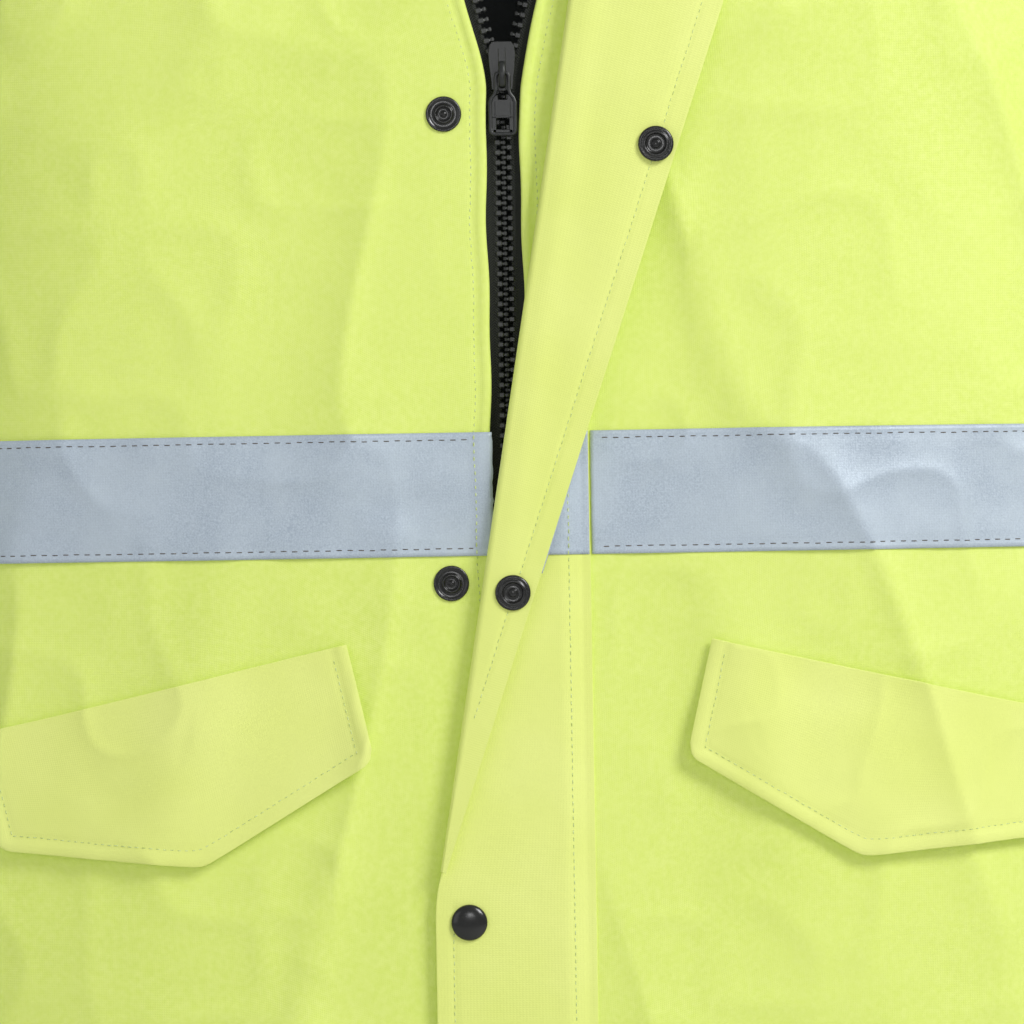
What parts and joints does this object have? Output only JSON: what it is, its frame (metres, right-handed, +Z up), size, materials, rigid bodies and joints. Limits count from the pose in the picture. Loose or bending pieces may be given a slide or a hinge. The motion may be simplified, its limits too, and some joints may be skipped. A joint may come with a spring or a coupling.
{
  "type": "foul weather jacket",
  "caption": "Sailing jacket with a zip under a folding storm flap, press studs, slanted pocket flaps, stand collar and reflective bands, hung by its loop.",
  "frame": {"origin": "underside of the hanging loop's peak, inside the back of the neck", "axes": "+X to the wearer's left, the front faces -Y, +Z up"},
  "size_m": [0.9958, 0.2311, 0.876],
  "materials": {
    "fluorescent_cloth": "coated woven polyester, fluorescent yellow, satin",
    "lining_cloth": "thin woven polyester lining, charcoal",
    "black_webbing": "black woven tape, matt",
    "zip_plastic": "moulded acetal, black, satin",
    "snap_plastic": "moulded acetal press studs, black, glossy",
    "reflective_tape": "glass-bead reflective tape, silver grey"
  },
  "bodies": {
    "root": {"right_front_panel": "fluorescent_cloth", "left_front_panel": "fluorescent_cloth", "back_panel": "fluorescent_cloth", "body_lining": "lining_cloth", "collar": "fluorescent_cloth", "collar_lining": "lining_cloth", "hanging_loop": "black_webbing", "right_zip_tape": "black_webbing", "right_zip_teeth": "zip_plastic", "left_zip_tape": "black_webbing", "left_zip_teeth": "zip_plastic", "zip_box": "zip_plastic", "zip_pin": "zip_plastic", "storm_flap_base": "fluorescent_cloth", "storm_flap_tape": "reflective_tape", "snap_stud_1": "snap_plastic", "snap_stud_2": "snap_plastic", "snap_stud_3": "snap_plastic", "snap_stud_4": "snap_plastic", "snap_stud_5": "snap_plastic", "snap_cap_3": "snap_plastic", "snap_cap_4": "snap_plastic", "snap_cap_5": "snap_plastic", "right_chest_tape": "reflective_tape", "left_chest_tape": "reflective_tape", "back_chest_tape": "reflective_tape", "right_pocket_bag": "lining_cloth", "left_pocket_bag": "lining_cloth"},
    "zip_slider": {"zip_slider": "zip_plastic"},
    "zip_pull": {"zip_pull": "zip_plastic"},
    "storm_flap": {"storm_flap_fold": "fluorescent_cloth", "storm_flap_fold_tape": "reflective_tape", "snap_cap_1": "snap_plastic", "snap_cap_2": "snap_plastic"},
    "right_pocket_flap": {"right_pocket_flap": "fluorescent_cloth"},
    "left_pocket_flap": {"left_pocket_flap": "fluorescent_cloth"},
    "right_sleeve": {"right_sleeve": "fluorescent_cloth", "right_sleeve_lining": "lining_cloth", "right_sleeve_tape": "reflective_tape", "right_cuff_band": "fluorescent_cloth"},
    "left_sleeve": {"left_sleeve": "fluorescent_cloth", "left_sleeve_lining": "lining_cloth", "left_sleeve_tape": "reflective_tape", "left_cuff_band": "fluorescent_cloth"}
  },
  "joints": [
    {"name": "zip_slider", "type": "slide", "parent": "root", "child": "zip_slider", "axis": [0, 0, -1], "range_m": [0, 0.58]},
    {"name": "zip_pull", "type": "hinge", "parent": "zip_slider", "child": "zip_pull", "pos_m": [0, -0.1565, -0.1924], "axis": [-1, 0, 0], "range_deg": [0, 178]},
    {"name": "storm_flap", "type": "hinge", "parent": "root", "child": "storm_flap", "pos_m": [-0.0326, -0.1627, -0.5285], "axis": [-0.1618, 0, -0.9868], "range_deg": [0, 178.5]},
    {"name": "right_pocket_flap", "type": "hinge", "parent": "root", "child": "right_pocket_flap", "pos_m": [-0.0675, -0.16905, -0.4194], "axis": [-0.9633, 0.1501, -0.2224], "range_deg": [0, 150]},
    {"name": "left_pocket_flap", "type": "hinge", "parent": "root", "child": "left_pocket_flap", "pos_m": [0.0815, -0.1724, -0.4194], "axis": [-0.9527, -0.2095, 0.22], "range_deg": [0, 150]},
    {"name": "right_sleeve", "type": "hinge", "parent": "root", "child": "right_sleeve", "pos_m": [-0.208, -0.0446, -0.0644], "axis": [0, 1, 0], "range_deg": [0, 60]},
    {"name": "left_sleeve", "type": "hinge", "parent": "root", "child": "left_sleeve", "pos_m": [0.208, -0.0446, -0.0644], "axis": [0, -1, 0], "range_deg": [0, 60]}
  ]
}
